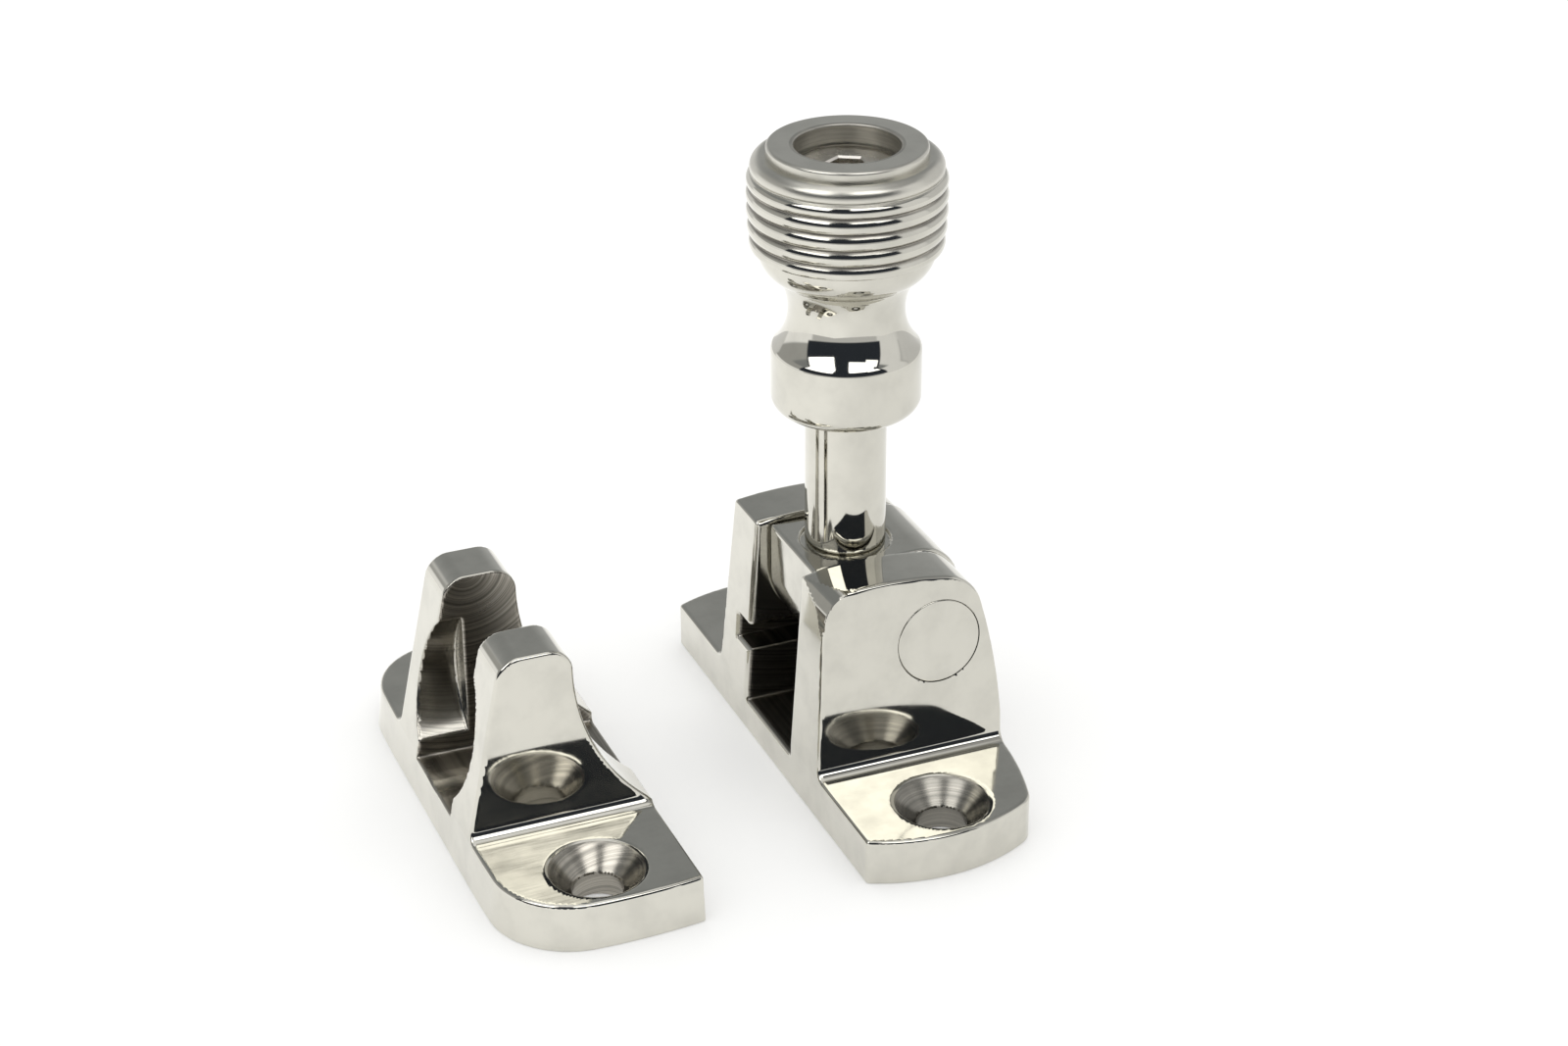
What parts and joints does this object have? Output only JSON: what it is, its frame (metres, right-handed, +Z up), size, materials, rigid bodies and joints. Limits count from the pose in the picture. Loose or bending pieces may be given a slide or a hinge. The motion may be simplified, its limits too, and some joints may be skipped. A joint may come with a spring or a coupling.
{
  "type": "sash window fastener",
  "caption": "Swinging-arm sash fastener: body with pivoted spindle and screwed beehive locking knob, and a separate horned keep.",
  "frame": {"origin": "centre of the underside of the fastener body's plate", "axes": "+Z up from the mounting face, along the spindle at rest; the keep lies towards -X; Y runs along both plates"},
  "size_m": [0.0551, 0.0546, 0.0649],
  "materials": {
    "polished_casting": "mirror polished outside, milled slot",
    "polished_keep": "mirror polished outside, milled slot and socket",
    "polished_pin": "mirror polished, dressed flush",
    "polished_block": "polished",
    "polished_bar": "mirror polished",
    "turned_knob": "turned and mirror polished",
    "turned_screw": "turned",
    "bright_steel": "bright drawn"
  },
  "bodies": {
    "base": {"fastener_body": "polished_casting", "pivot_pin": "polished_pin"},
    "arm": {"swivel_block": "polished_block", "spindle": "polished_bar"},
    "knob_carrier": {"security_pin": "bright_steel"},
    "knob": {"knob": "turned_knob"},
    "lock": {"lock_screw": "turned_screw"},
    "keep": {"keep": "polished_keep"}
  },
  "joints": [
    {"name": "arm_swing", "type": "hinge", "parent": "base", "child": "arm", "pos_m": [0.00326, 0, 0.01687], "axis": [0, -1, 0], "range_deg": [0, 60]},
    {"name": "knob_travel", "type": "slide", "parent": "arm", "child": "knob_carrier", "axis": [0, 0, 1], "range_m": [0, 0.012]},
    {"name": "knob_turn", "type": "hinge", "parent": "knob_carrier", "child": "knob", "pos_m": [-0.00154, 0, 0.05], "axis": [0, 0, 1], "range_deg": [0, 4320]},
    {"name": "lock_turn", "type": "hinge", "parent": "knob", "child": "lock", "pos_m": [-0.00154, 0, 0.0614], "axis": [0, 0, 1], "range_deg": [-140, 0]},
    {"name": "keep_slide", "type": "slide", "parent": "base", "child": "keep", "axis": [-1, 0, 0], "range_m": [0, 0.03]}
  ],
  "couplings": [
    {"joint": "knob_travel", "follows": "knob_turn", "m_per_rad": 0.00015915}
  ]
}
